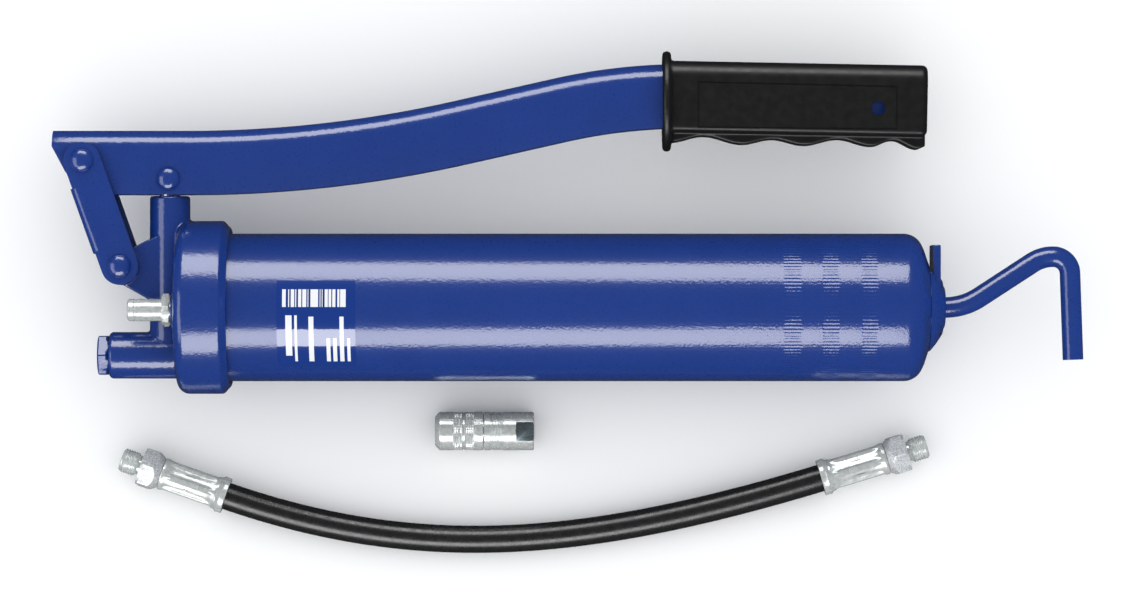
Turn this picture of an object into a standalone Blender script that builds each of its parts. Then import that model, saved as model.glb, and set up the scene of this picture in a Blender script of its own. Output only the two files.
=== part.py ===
"""Lever grease gun lying on its side, with its loose hose and loose coupler.

Dimensions are millimetres in the gun's own coordinates: X along the barrel with 0 on the pump
column, Y towards the lever with 0 on the barrel axis, Z out of the gun's middle plane. place()
turns them into the shared frame: metres, floor at Z 0, origin under the middle of the gun.
"""
import bpy
import math
from mathutils import Vector

for old in list(bpy.data.objects):
    bpy.data.objects.remove(old)

MM = 0.001
GAP = 0.3                 # clearance left between touching pieces

# Barrel and rear cap
BARREL_R, BARREL_WALL = 28.5, 1.2
BARREL_FRONT, BARREL_BACK = 9.5, 293.0
CAP_END = BARREL_BACK + 6.4
# Head, its ring round the barrel's front
RING_R = BARREL_R + 4.9
RING_FRONT, RING_BACK = 3.2, 23.6
COLUMN_R, COLUMN_TOP = 7.8, 43.0
OUTLET_Y, OUTLET_R, OUTLET_FRONT = -18.5, 9.0, -23.4
FILLER_Y, FILLER_Z = -1.0, 15.0
# Pivots of the lever linkage, all along Z
PIVOT_A = (-18.5, 15.8)   # link to head
PIVOT_B = (-33.0, 56.5)   # link to lever
PIVOT_C = (0.0, 49.5)     # lever to plunger
PIN_R = 2.5
# Lever, a pressed channel
LEVER_FRONT, LEVER_BACK = -44.9, 285.0
LEVER_TOP, LEVER_DEPTH = 68.2, 24.7
LEVER_HALF, SHEET, LEVER_BEND = 8.5, 2.5, 7.0
LINK_IN, LINK_WALL, LINK_R = LEVER_HALF + 0.4, 2.6, 7.1
LINK_OUT = LINK_IN + LINK_WALL
# Plunger, follower and pull rod
PLUNGER_R = 4.0
ROD_R = 4.0
HANDLE_RIGHT = BARREL_BACK + 60.0
SPRING_TURNS, SPRING_MEAN_R, SPRING_WIRE = 10, BARREL_R - 8.0, 1.1
# Grip
GRIP_FRONT, GRIP_BACK, GRIP_HALF = 191.0, 292.4, LEVER_HALF + 4.0
GRIP_TALL = 27.4
GUARD_TOP, GUARD_BOTTOM, GUARD_HALF = 99.1, 60.1, GRIP_HALF + 3.5
# Loose coupler, axis along X
COUPLER_X, COUPLER_Y, COUPLER_R, COUPLER_LENGTH = 101.75, -48.5, 7.5, 38.7
# Loose hose: mouths of its two ferrules, and the way each fitting points
HOSE_R, HOSE_BORE = 5.35, 3.2
HOSE_LEFT, HOSE_LEFT_TURN = (19.9, -73.9), math.radians(160.7)
HOSE_RIGHT, HOSE_RIGHT_TURN = (252.8, -66.9), math.radians(16.9)
FITTING_Z = 8.35          # height of the fittings' axes over the floor

MID_X = (LEVER_FRONT + HANDLE_RIGHT) / 2
MID_Y = (GUARD_TOP + COUPLER_Y - COUPLER_R) / 2
COUPLER_Z = COUPLER_R - RING_R
HOSE_Z = FITTING_Z - RING_R

BLUE = (0.016, 0.06, 0.27)
ZINC = (0.62, 0.62, 0.56)
STEEL = (0.55, 0.55, 0.55)
BLACK = (0.012, 0.012, 0.013)


def place(x, y, z=0.0):
    return Vector((x - MID_X, y - MID_Y, z + RING_R)) * MM


def collection(name):
    made = bpy.data.collections.new(name)
    bpy.context.scene.collection.children.link(made)
    return made


PARTS = collection("grease_gun")
CUTTERS = collection("cutters")


def material(name, colour, roughness, metallic):
    made = bpy.data.materials.new(name)
    made.use_nodes = True
    shader = made.node_tree.nodes["Principled BSDF"]
    shader.inputs["Base Color"].default_value = (*colour, 1)
    shader.inputs["Roughness"].default_value = roughness
    shader.inputs["Metallic"].default_value = metallic
    return made


def add(name, mesh, look=None):
    """An object in the parts collection if it has a look, else among the cutters."""
    made = bpy.data.objects.new(name, mesh)
    (PARTS if look else CUTTERS).objects.link(made)
    if look:
        mesh.materials.append(material(name, *look))
    else:
        made.hide_render = True
        made.display_type = 'WIRE'
    return made


def arc(x, y, radius, start, end, steps):
    """Points of an arc, angles in degrees."""
    turns = [math.radians(start + (end - start) * n / steps) for n in range(steps + 1)]
    return [(x + radius * math.cos(t), y + radius * math.sin(t)) for t in turns]


AXES = {
    'X': (0, math.pi / 2, 0),
    'Y': (-math.pi / 2, 0, 0),
    'Z': (0, 0, 0),
}


def turned(name, profile, at=(0, 0, 0), axis='X', look=None, steps=24, ring=False, turn=0.0):
    """A turned solid: profile is (distance along the axis, radius), a closed loop if ring."""
    loop = list(profile)
    area = sum(a[1] * b[0] - b[1] * a[0] for a, b in zip(loop, loop[1:] + loop[:1]))
    if area > 0:
        loop.reverse()
    mesh = bpy.data.meshes.new(name)
    edges = [(n, n + 1) for n in range(len(loop) - 1)]
    if ring:
        edges.append((len(loop) - 1, 0))
    mesh.from_pydata([(r * MM, 0, t * MM) for t, r in loop], edges, [])
    made = add(name, mesh, look)
    made.location = place(*at)
    made.rotation_euler = AXES[axis]
    made.rotation_euler.z += turn
    screw = made.modifiers.new("turn", 'SCREW')
    screw.axis = 'Z'
    screw.steps = screw.render_steps = steps
    screw.use_merge_vertices = True
    screw.merge_threshold = 0.00001
    screw.use_smooth_shade = steps > 8
    return made


def tube(name, start, end, outer, inner, at=(0, 0, 0), axis='X', look=None, steps=24):
    loop = [(start, inner), (start, outer), (end, outer), (end, inner)]
    return turned(name, loop, at, axis, look, steps, ring=True)


def rod(name, start, end, radius, at=(0, 0, 0), axis='X', steps=20, turn=0.0):
    """A plain cylinder, for cutting or joining."""
    loop = [(start, 0), (start, radius), (end, radius), (end, 0)]
    return turned(name, loop, at, axis, None, steps, turn=turn)


def meshed(curve, name, look):
    """The curve object's mesh, welded, in place of the curve."""
    bpy.context.view_layer.update()
    seen = curve.evaluated_get(bpy.context.evaluated_depsgraph_get())
    mesh = bpy.data.meshes.new_from_object(seen)
    mesh.materials.clear()
    spot = curve.matrix_world.copy()
    bpy.data.objects.remove(curve)
    made = add(name, mesh, look)
    made.matrix_world = spot
    weld = made.modifiers.new("weld", 'WELD')
    weld.merge_threshold = 0.000001
    return made


def spline(name, points, cyclic=False, flat=False):
    data = bpy.data.curves.new(name, 'CURVE')
    data.dimensions = '2D' if flat else '3D'
    line = data.splines.new('POLY')
    line.points.add(len(points) - 1)
    for point, spot in zip(line.points, points):
        point.co = (*[v * MM for v in spot], *[0] * (3 - len(spot)), 1)
    line.use_cyclic_u = cyclic
    made = bpy.data.objects.new(name, data)
    CUTTERS.objects.link(made)
    return made


def sheet(name, points, low, high, look=None, across='Z', origin=(0, 0)):
    """An outline filled and given thickness, from low to high along Z, or along X of (y, z)."""
    curve = spline(name, [(x - origin[0], y - origin[1]) for x, y in points], True, True)
    curve.data.fill_mode = 'BOTH'
    curve.data.extrude = (high - low) / 2 * MM
    middle = (low + high) / 2
    if across == 'Z':
        curve.location = place(*origin, middle)
    else:
        curve.location = place(middle, *origin)
        curve.rotation_euler = (math.pi / 2, 0, math.pi / 2)
    return meshed(curve, name, look)


def box(name, x, y, z):
    (a, b), (c, d), (e, f) = x, y, z
    return sheet(name, [(a, c), (b, c), (b, d), (a, d)], e, f)


def wire(name, points, radius, look=None, at=(0, 0, 0), resolution=2):
    curve = spline(name, points)
    curve.data.bevel_depth = radius * MM
    curve.data.bevel_resolution = resolution
    curve.data.use_fill_caps = True
    curve.location = place(*at)
    return meshed(curve, name, look)


def coil(name, start, end, mean, radius, turns, at, look, fine=8, resolution=1):
    """A compression spring along X, with `fine` points to a turn."""
    count = turns * fine
    points = []
    for n in range(count + 1):
        angle = 2 * math.pi * n / fine
        points.append((start + (end - start) * n / count,
                       mean * math.cos(angle), mean * math.sin(angle)))
    return wire(name, points, radius, look, at, resolution)


def bent(corners, radii, steps=7):
    """A polyline through the corners with its inner corners rounded."""
    path = [corners[0]]
    for before, corner, after, radius in zip(corners, corners[1:], corners[2:], radii):
        here = Vector(corner)
        back = (Vector(before) - here).normalized()
        on = (Vector(after) - here).normalized()
        half = back.angle(on) / 2
        centre = here + (back + on).normalized() * radius / math.sin(half)
        first = here + back * radius / math.tan(half) - centre
        last = here + on * radius / math.tan(half) - centre
        whole = first.angle(last)
        for n in range(steps + 1):
            part = (first * math.sin(whole * (1 - n / steps)) +
                    last * math.sin(whole * n / steps)) / math.sin(whole)
            path.append(tuple(centre + part))
    return path + [corners[-1]]


def boolean(target, how, *tools):
    for tool in tools:
        change = target.modifiers.new(how.lower(), 'BOOLEAN')
        change.operation = how
        change.solver = 'EXACT'
        change.object = tool
    return target


def join(target, *tools):
    return boolean(target, 'UNION', *tools)


def cut(target, first, *others):
    """Takes the cutters away in one go, joined beforehand."""
    return boolean(target, 'DIFFERENCE', join(first, *others))


def soften(target, width, segments=2, degrees=40):
    edge = target.modifiers.new("edges", 'BEVEL')
    edge.width = width * MM
    edge.segments = segments
    edge.limit_method = 'ANGLE'
    edge.angle_limit = math.radians(degrees)
    return target


def corner_radius(across_flats):
    return across_flats / 2 / math.cos(math.pi / 6)


PAINT = (BLUE, 0.3, 0.0)
PLATED = (ZINC, 0.3, 1.0)
BARE = (STEEL, 0.35, 1.0)
RUBBER = (BLACK, 0.7, 0.0)
PLASTIC = (BLACK, 0.4, 0.0)

# ---- Head: cup, column, outlet boss and ear in one casting
floor_in = RING_FRONT + 2.5
seat = floor_in + 1.2
cup = [(RING_FRONT, 0)]
cup += [(x, r) for x, r in arc(RING_FRONT + 4.5, RING_R - 4.5, 4.5, 180, 90, 5)]
cup += [(RING_BACK - 2.6, RING_R), (RING_BACK - 0.8, RING_R - 2.2), (RING_BACK, BARREL_R + 0.6),
        (RING_BACK, 0)]
head = turned("pump_head", cup, look=PAINT, steps=48)
column = turned("head_column", [(OUTLET_Y, 0), (OUTLET_Y, COLUMN_R), (COLUMN_TOP - 0.8, COLUMN_R),
                                (COLUMN_TOP, COLUMN_R - 0.8), (COLUMN_TOP, 0)], axis='Y',
                steps=24)
boss = turned("head_outlet_boss", [(OUTLET_FRONT, 0), (OUTLET_FRONT, OUTLET_R - 1.4),
                                   (OUTLET_FRONT + 1.4, OUTLET_R), (RING_FRONT + 2, OUTLET_R),
                                   (RING_FRONT + 2, 0)], (0, OUTLET_Y, 0), steps=24)
ear = sheet("head_ear", [(-2, 28.3), (-8, 26.1)] + arc(*PIVOT_A, 7.3, 66, 276, 14) +
            [(-7.5, 2.9), (-2, 1.0)], -7.0, 7.0)
knuckle = rod("head_ear_knuckle", -LINK_IN + GAP, LINK_IN - GAP, 7.0, PIVOT_A, 'Z', 16)
filler_boss = turned("head_filler_boss", [(1.7, 0), (1.7, 6.2), (2.2, 6.8), (4.5, 6.8), (4.5, 0)],
                     (0, FILLER_Y, FILLER_Z), steps=16)
join(head, column, boss, ear, knuckle, filler_boss)
chamber = turned("chamber", [(floor_in, 0), (floor_in, BARREL_R - 5.7), (seat, BARREL_R - 4.5),
                             (seat, BARREL_R + GAP), (RING_BACK + 2, BARREL_R + GAP),
                             (RING_BACK + 2, 0)], steps=48)
packing_r = PLUNGER_R + 1.6
plunger_bore = turned("plunger_bore", [(OUTLET_Y - 1, 0), (OUTLET_Y - 1, PLUNGER_R + GAP),
                                       (37.5, PLUNGER_R + GAP), (37.5, packing_r + GAP),
                                       (COLUMN_TOP + 1, packing_r + GAP), (COLUMN_TOP + 1, 0)],
                      axis='Y', steps=16)
outlet_bore = turned("outlet_bore", [(-24, 0), (-24, 6.8), (-13.7, 6.8), (-13.7, 4.0), (-8, 4.0),
                                     (-8, 2.2), (1, 2.2), (1, 0)], (0, OUTLET_Y, 0), steps=16)
inlet = rod("inlet_port", 0, 8, 3.0, steps=12)
filler_hole = rod("filler_hole", -1, 8, 4.0, (0, FILLER_Y, FILLER_Z), steps=16)
ear_hole = rod("ear_hole", -LINK_OUT, LINK_OUT, PIN_R + GAP, PIVOT_A, 'Z', 20)
cut(head, chamber, plunger_bore, outlet_bore, inlet, filler_hole, ear_hole)

# ---- Outlet: hexagonal valve screw, washer, check ball and its spring
screw = turned("outlet_valve_screw", [(-27.6, 0), (-27.6, 8.0), (-27.0, corner_radius(15.0)),
                                      (-24.2, corner_radius(15.0)), (-23.7, 8.0), (-23.7, 0)],
               (0, OUTLET_Y, 0), look=PAINT, steps=6)
join(screw, rod("valve_screw_shank", -25, -15.1, 6.5, (0, OUTLET_Y, 0)))
cut(screw, turned("valve_screw_bore", [(-28.5, 0), (-28.5, 5.6), (-27.0, 4.6), (-20.5, 4.6),
                                       (-20.5, 1.5), (-19, 1.5), (-19, 3.2), (-14, 3.2), (-14, 0)],
                  (0, OUTLET_Y, 0), steps=24))
tube("outlet_washer", -14.8, -14.0, 6.5, 4.2, (0, OUTLET_Y, 0), look=((0.55, 0.25, 0.12), 0.4, 1.0))
turned("outlet_ball", arc(0, 0, 3.0, 180, 0, 10), (-10.46, OUTLET_Y, 0), look=BARE, steps=16)
coil("outlet_spring", -18.4, -13.2, 2.4, 0.3, 4, (0, OUTLET_Y, 0), BARE)

# ---- Filler nipple with its ball and spring
filler_at = (0, FILLER_Y, FILLER_Z)
nipple = turned("filler_nipple", [(-15.1, 0), (-15.1, 3.6), (-14.4, 4.25), (-1.0, 4.25), (-1.0, 0)],
                filler_at, look=PLATED)
join(nipple, rod("filler_hexagon", -1.7, RING_FRONT - 1.8, corner_radius(11.3), filler_at, steps=6),
     rod("filler_shank", 0, 5.4, 3.7, filler_at))
cut(nipple, turned("filler_bore", [(-16, 0), (-16, 1.6), (-12.6, 1.6), (-12.6, 2.6), (4.4, 2.6),
                                   (4.4, 1.2), (6, 1.2), (6, 0)], filler_at, steps=16))
turned("filler_ball", arc(0, 0, 2.1, 180, 0, 8), (-10.81, FILLER_Y, FILLER_Z), look=BARE, steps=16)
coil("filler_spring", -8.6, 3.8, 1.6, 0.25, 6, filler_at, BARE)

# ---- Plunger with its packing and the pin to the lever
tube("plunger_packing", 38.0, COLUMN_TOP - 1, packing_r, PLUNGER_R + GAP, axis='Y', look=RUBBER)
plunger = turned("pump_plunger", [(-13, 0), (-13, PLUNGER_R - 0.6), (-12.4, PLUNGER_R),
                                  (46, PLUNGER_R), (46, 0)], axis='Y', look=BARE)
eye_half = LEVER_HALF - SHEET - GAP
join(plunger, rod("plunger_eye", -eye_half, eye_half, 6.0, PIVOT_C, 'Z'))
cut(plunger, rod("plunger_eye_hole", -eye_half - 1, eye_half + 1, PIN_R + GAP, PIVOT_C, 'Z', 16))


def rivet(name, at, inside, head_r):
    """A rivet across the gun, its heads starting a gap outside the plates."""
    face = inside + GAP
    loop = [(-face - 2.2, 0), (-face - 1.9, head_r * 0.5), (-face - 1.1, head_r * 0.85),
            (-face, head_r), (-face, PIN_R)]
    loop += [(-t, r) for t, r in reversed(loop)]
    return turned(name, loop, at, 'Z', PAINT, 20)


rivet("plunger_pin", PIVOT_C, LEVER_HALF, 4.4)
rivet("link_lower_rivet", PIVOT_A, LINK_OUT, 4.4)
rivet("link_upper_rivet", PIVOT_B, LINK_OUT, 4.4)

# ---- Lever: inverted channel swept along a gently cranked line
lever_path = bent([(LEVER_FRONT, LEVER_TOP), (58.8, LEVER_TOP), (177.4, 94.96), (LEVER_BACK, 90.9)],
                  [468.0, 230.0], 6)


def section(half, depth, radius, top=0.0):
    """Outside of the channel's section: (depth, width) with its two bends rounded."""
    return ([(depth, -half)] + arc(top + radius, -half + radius, radius, 270, 180, 3) +
            arc(top + radius, half - radius, radius, 180, 90, 3) + [(depth, half)])


def swept(name, outline, path, look=None):
    """The section carried along a flat path, depth measured to the path's right."""
    rings = []
    for n, here in enumerate(path):
        before, after = path[max(n - 1, 0)], path[min(n + 1, len(path) - 1)]
        on = (Vector(after) - Vector(before)).normalized()
        down = Vector((on.y, -on.x))
        rings.append([(*((Vector(here) + down * d) * MM), w * MM) for d, w in outline])
    size = len(outline)
    faces = [(r * size + n, (r + 1) * size + n, (r + 1) * size + (n + 1) % size,
              r * size + (n + 1) % size)
             for r in range(len(path) - 1) for n in range(size)]
    last = (len(path) - 1) * size
    faces += [tuple(range(size)), tuple(range(last + size - 1, last - 1, -1))]
    mesh = bpy.data.meshes.new(name)
    mesh.from_pydata([spot for ring in rings for spot in ring], [], faces)
    made = add(name, mesh, look)
    made.location = place(0, 0, 0)
    return made


inner = section(LEVER_HALF - SHEET, LEVER_DEPTH, LEVER_BEND - SHEET, SHEET)
lever = swept("lever_channel", section(LEVER_HALF, LEVER_DEPTH, LEVER_BEND) + inner[::-1],
              lever_path, PAINT)
nose = [(-70, 62), (LEVER_FRONT, 62)] + arc(*PIVOT_B, 7.9, 210, 280, 7)
nose += [(-22, 43.6), (-21, 30), (-70, 30)]
beyond = LINK_OUT + 2.5
cut(lever, sheet("lever_nose", nose, -beyond, beyond),
    rod("lever_pin_hole_b", -beyond, beyond, PIN_R + 2.2, PIVOT_B, 'Z'),
    rod("lever_pin_hole_c", -beyond, beyond, PIN_R + GAP, PIVOT_C, 'Z', 16))
cut(lever, box("lever_tang", (197, LEVER_BACK + 15), (40, 71), (-beyond, beyond)))

# ---- Grip moulded over the lever's tang, with a guard and a finger rib
grip_outline = (arc(6.0, 6.0 - GRIP_HALF, 6.0, 270, 180, 3) +
                arc(6.0, GRIP_HALF - 6.0, 6.0, 180, 90, 3) +
                arc(GRIP_TALL - 2.0, GRIP_HALF - 2.0, 2.0, 90, 0, 2) +
                arc(GRIP_TALL - 2.0, 2.0 - GRIP_HALF, 2.0, 0, -90, 2))
grip = swept("lever_grip", grip_outline, [(GRIP_FRONT, 95.1), (GRIP_BACK, 93.2)], PLASTIC)
soften(grip, 2.0, 2, 60)
knuckles = [(193.4, 63.6), (206, 65.9), (221, 62.8), (232.6, 64.7), (245, 62.4), (258, 64.7),
            (271, 62.0), (279, 64.3), (288.5, 60.9), (291.4, 61.8)]
wave = []
for (x0, y0), (x1, y1) in zip(knuckles, knuckles[1:]):
    for n in range(4):
        share = (1 - math.cos(math.pi * n / 4)) / 2
        wave.append((x0 + (x1 - x0) * n / 4, y0 + (y1 - y0) * share))
rib = sheet("grip_rib", wave + [(291.4, 61.8), (291.4, 72), (193.4, 72)], -7.5, 7.5)
guard_middle = (GUARD_TOP + GUARD_BOTTOM) / 2
guard_half = (GUARD_TOP - GUARD_BOTTOM) / 2
oval = [(guard_middle + guard_half * y, GUARD_HALF * z) for y, z in arc(0, 0, 1, 0, 345, 23)]
guard = soften(sheet("grip_guard", oval, 190.1, 193.7, across='X'), 1.3, 2, 60)
join(grip, soften(rib, 2.0, 2, 60), guard)
cavity_path = lever_path[:-1] + [(LEVER_BACK + GAP, 90.9)]
cavity = swept("grip_cavity", section(LEVER_HALF + GAP, LEVER_DEPTH + GAP, LEVER_BEND, -GAP),
               cavity_path)
cut(cavity, box("grip_cavity_floor", (197.4, LEVER_BACK + 15), (40, 70.7), (-beyond, beyond)))
cut(grip, cavity, rod("grip_hole", -GUARD_HALF, GUARD_HALF, 2.8, (272.9, 76.6), 'Z', 20))

# ---- Link: channel outside the lever, open towards the gun
lean = Vector(PIVOT_B) - Vector(PIVOT_A)
reach = lean.length
along = lean.normalized()
aside = Vector((along.y, -along.x))


def on_link(t, q):
    return tuple(Vector(PIVOT_A) + along * t + aside * q)


lean_deg = math.degrees(math.atan2(along.y, along.x))
plate = arc(*PIVOT_A, LINK_R, lean_deg + 90, lean_deg + 270, 12)
plate += arc(*PIVOT_B, LINK_R, lean_deg - 90, lean_deg + 90, 12)
link = sheet("link_plate", plate, -LINK_OUT, LINK_OUT, PAINT, origin=PIVOT_A)
web_out = -LINK_R - 1.0
web_in = web_out + SHEET
web = [(8.0, web_out), (reach - 9.0, web_out), (reach - 9.0, 0), (8.0, 0)]
join(link, sheet("link_web", [on_link(*p) for p in web], -LINK_OUT + 0.6, LINK_OUT - 0.6))
window = [(-20, -20), (7.3, -20), (7.3, web_in), (reach - 8.2, web_in), (reach - 8.2, -20),
          (65, -20), (65, 20), (-20, 20)]
cut(link, sheet("link_window", [on_link(*p) for p in window], -LINK_IN, LINK_IN),
    rod("link_hole_a", -beyond, beyond, PIN_R + GAP, PIVOT_A, 'Z', 16),
    rod("link_hole_b", -beyond, beyond, PIN_R + GAP, PIVOT_B, 'Z', 16))

# ---- Barrel, its gasket, rear cap and spring seat
inner_r = BARREL_R - BARREL_WALL
mouth_r = 14.0
barrel = [(BARREL_FRONT, inner_r), (BARREL_FRONT, BARREL_R - 0.3), (RING_BACK - 0.8, BARREL_R - 0.3),
          (RING_BACK - 0.5, BARREL_R)]
barrel += [(BARREL_BACK - x, r) for x, r in
           [(9.5, BARREL_R), (5.8, BARREL_R - 1.1), (3.4, BARREL_R - 3.1), (1.3, BARREL_R - 7.9),
            (0, 17.0), (0, mouth_r), (1.6, mouth_r), (1.6, 16.6), (2.8, BARREL_R - 8.5),
            (4.7, BARREL_R - 4.1), (6.6, BARREL_R - 2.1), (9.5, inner_r)]]
turned("barrel_tube", barrel, look=PAINT, steps=48, ring=True)
tube("head_gasket", seat + GAP, BARREL_FRONT - GAP, BARREL_R - 0.1, BARREL_R - 4.2, look=RUBBER,
     steps=32)
cap_in = BARREL_BACK - 6.8
catch_x = BARREL_BACK + 2.7
catch_spring_y = ROD_R + 5.3
seal_r = ROD_R + 2.1
cap = turned("rear_cap", [(cap_in, 0), (cap_in, mouth_r - GAP), (BARREL_BACK + GAP, mouth_r - GAP),
                          (BARREL_BACK + GAP, 17.2), (CAP_END - 1.4, 10.9), (CAP_END - 0.6, 9.6),
                          (CAP_END, 7.5), (CAP_END, 0)], look=PAINT)
cut(cap, turned("rear_cap_bore", [(cap_in - 1, 0), (cap_in - 1, seal_r + GAP),
                                  (cap_in + 4.2, seal_r + GAP), (cap_in + 4.2, ROD_R + GAP),
                                  (CAP_END + 1, ROD_R + GAP), (CAP_END + 1, 0)], steps=24),
    box("rear_cap_slot", (BARREL_BACK - 0.2, BARREL_BACK + 4.5), (-ROD_R - 6.9, 20), (-9.8, 9.8)),
    rod("rear_cap_pocket", BARREL_BACK - 5, BARREL_BACK + 1, 2.2, (0, catch_spring_y, 0), steps=16))
tube("spring_seat", cap_in, cap_in + 1.7, BARREL_R - 6.0, mouth_r, look=BARE)
tube("rod_seal", cap_in + GAP, cap_in + 3.9, seal_r, ROD_R + GAP, look=RUBBER, steps=24)

# ---- Lock plate that grips the rod, with its spring
tilt_at = (catch_x, -ROD_R - 5.0)
catch = sheet("release_plate", [(catch_x + 1.5, tilt_at[1]), (catch_x + 1.5, 23.4),
                                (catch_x + 0.8, 24.1), (catch_x - 0.8, 24.1),
                                (catch_x - 1.5, 23.4), (catch_x - 1.5, tilt_at[1])] +
              arc(*tilt_at, 1.5, 198, 342, 4), -9.5, 9.5, PAINT, origin=tilt_at)
cut(catch, rod("release_plate_hole", catch_x - 3.7, catch_x + 3.3, ROD_R + 0.6, steps=20))
coil("release_spring", BARREL_BACK - 4.4, BARREL_BACK + 0.6, 1.4, 0.3, 4, (0, catch_spring_y, 0),
     BARE)

# ---- Follower between its two plates, main spring, pull rod and its nut
tube("follower_front_plate", 16.1, 17.7, inner_r - 7.3, 3.3, look=BARE)
turned("follower_cup", [(18.0, 3.3), (18.0, inner_r - 4.8), (15.2, inner_r - 1.7),
                        (15.2, inner_r - GAP),
                        (24.7, inner_r - GAP), (24.7, 3.3)], look=RUBBER, steps=32, ring=True)
tube("follower_rear_plate", 25.0, 26.6, inner_r - 3.3, 3.3, look=BARE)
coil("follower_spring", 28.1, cap_in - 1.4, SPRING_MEAN_R, SPRING_WIRE, SPRING_TURNS, (0, 0, 0), BARE,
     12)
grasp_x = HANDLE_RIGHT - ROD_R
handle = bent([(27.5, 0, 0), (grasp_x - 42.2, 0, 0), (grasp_x - 12.1, 19.6, 0),
               (grasp_x - 1.4, 19.6, 0), (grasp_x, -20.3, 0)], [24.0, 14.5, 6.5])
pull_rod = wire("pull_rod", handle, ROD_R, PAINT, resolution=4)
join(pull_rod, rod("rod_thread", 11.6, 29.0, 2.8, steps=16))
nut_r = corner_radius(10.0)
nut = turned("rod_nut", [(12.2, 0), (12.2, nut_r), (15.8, nut_r), (15.8, 0)], look=BARE, steps=6)
cut(nut, rod("rod_nut_hole", 11, 17, 3.1, steps=16))

# ---- Coupler: body, mouth sleeve, four jaws, seal, check ball and springs
coupler_at = (COUPLER_X, COUPLER_Y, COUPLER_Z)
mouth = [(0, 3.6), (0, 5.6), (1.6, COUPLER_R), (18.9, COUPLER_R), (18.9, 5.2), (9.0, 5.2),
         (3.0, 5.2), (1.4, 3.6)]
turned("coupler_sleeve", mouth, coupler_at, look=PLATED, steps=32, ring=True)
body = turned("coupler_body", [(13.9, 0), (13.9, 4.9), (19.2, 4.9), (19.2, COUPLER_R),
                               (COUPLER_LENGTH - 0.5, COUPLER_R),
                               (COUPLER_LENGTH, COUPLER_R - 0.5), (COUPLER_LENGTH, 0)],
              coupler_at, look=PLATED, steps=32)
end_x = COUPLER_X + COUPLER_LENGTH
flats = [box("coupler_flat_" + side, (end_x - 6.9, end_x + 1),
             (COUPLER_Y - 9, COUPLER_Y + 9), (COUPLER_Z + low, COUPLER_Z + high))
         for side, low, high in (("top", 6.5, 9), ("bottom", -9, -6.5))]
cut(body, *flats,
    turned("coupler_bore", [(12, 0), (12, 3.6), (20.5, 3.6), (20.5, 1.5), (24.0, 1.5), (24.0, 3.2),
                            (29.5, 3.2), (29.5, 4.6), (38.0, 4.6), (39.5, 5.6), (39.5, 0)],
           coupler_at, steps=24))
for number in range(4):
    jaw = turned("coupler_jaw_%d" % (number + 1), [(2.1, 2.9), (2.1, 3.9), (3.2, 4.9),
                                                   (10.0, 4.9), (10.0, 2.9)],
                 coupler_at, look=BARE, ring=True)
    middle = math.radians(45 + 90 * number)
    wedge = [(COUPLER_Y + 0.35 * math.cos(middle), COUPLER_Z + 0.35 * math.sin(middle))]
    wedge += [(COUPLER_Y + 12 * math.cos(middle + side) + 0.35 * math.cos(middle),
               COUPLER_Z + 12 * math.sin(middle + side) + 0.35 * math.sin(middle))
              for side in (-math.pi / 4, math.pi / 4)]
    boolean(jaw, 'INTERSECT', sheet("jaw_wedge_%d" % (number + 1), wedge, COUPLER_X,
                                    COUPLER_X + 20, across='X'))
tube("coupler_seal", 10.3, 12.0, 4.8, 1.4, coupler_at, look=RUBBER, steps=24)
coil("coupler_spring", 12.7, 19.9, 2.6, 0.3, 4, coupler_at, BARE)
turned("coupler_ball", arc(0, 0, 2.2, 180, 0, 8), (COUPLER_X + 26.0, COUPLER_Y, COUPLER_Z),
       look=BARE, steps=16)

# ---- Hose and its two crimped fittings
sleeve_in, tail_r = HOSE_R + GAP, HOSE_BORE - GAP
for side, at, turn in (("left", HOSE_LEFT, HOSE_LEFT_TURN), ("right", HOSE_RIGHT, HOSE_RIGHT_TURN)):
    spot = (*at, HOSE_Z)
    turned("hose_ferrule_" + side, [(0, sleeve_in + 0.55), (0, sleeve_in + 1.45),
                                    (2.0, sleeve_in + 1.45), (2.8, sleeve_in + 0.7),
                                    (26.3, sleeve_in + 0.7), (27.8, 5.0), (27.8, tail_r + 0.7),
                                    (26.3, tail_r + 0.7), (26.3, sleeve_in), (2.2, sleeve_in)],
           spot, look=PLATED, ring=True, turn=turn)
    stem = turned("hose_stem_" + side, [(6.0, 0), (6.0, tail_r), (28.1, tail_r), (28.1, 4.4),
                                        (30.5, 4.4),
                                        (30.5, 0)], spot, look=PLATED, turn=turn)
    collar = turned("stem_hexagon_" + side, [(28.6, 0), (28.6, 6.6), (29.4, corner_radius(14.4)),
                                             (34.6, corner_radius(14.4)), (35.4, 6.9), (35.4, 0)],
                    spot, steps=6, turn=turn)
    thread = turned("stem_thread_" + side, [(34, 0), (34, 3.75), (36.8, 3.75), (36.8, 4.85),
                                            (42.4, 4.85), (43.4, 3.9), (43.4, 0)], spot, turn=turn)
    join(stem, collar, thread)
    cut(stem, rod("stem_bore_" + side, 5, 45, 1.8, spot, steps=16, turn=turn))


def hose_path():
    """Straight inside each ferrule, one easy bend between them, sagging towards the floor."""
    ends = []
    for at, turn in ((HOSE_LEFT, HOSE_LEFT_TURN), (HOSE_RIGHT, HOSE_RIGHT_TURN)):
        out = Vector((math.cos(turn), math.sin(turn), 0))
        ends.append((Vector((*at, HOSE_Z)), out))
    (p0, out0), (p3, out3) = ends
    sag = Vector((0, 0, -3.9))
    p1, p2 = p0 - out0 * 80 + sag, p3 - out3 * 96 + sag
    path = [p0 + out0 * 25, p0 + out0 * 12]
    for n in range(17):
        t = n / 16
        path.append(p0 * (1 - t) ** 3 + p1 * 3 * t * (1 - t) ** 2 +
                    p2 * 3 * t ** 2 * (1 - t) + p3 * t ** 3)
    return path + [p3 + out3 * 12, p3 + out3 * 25]


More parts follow.
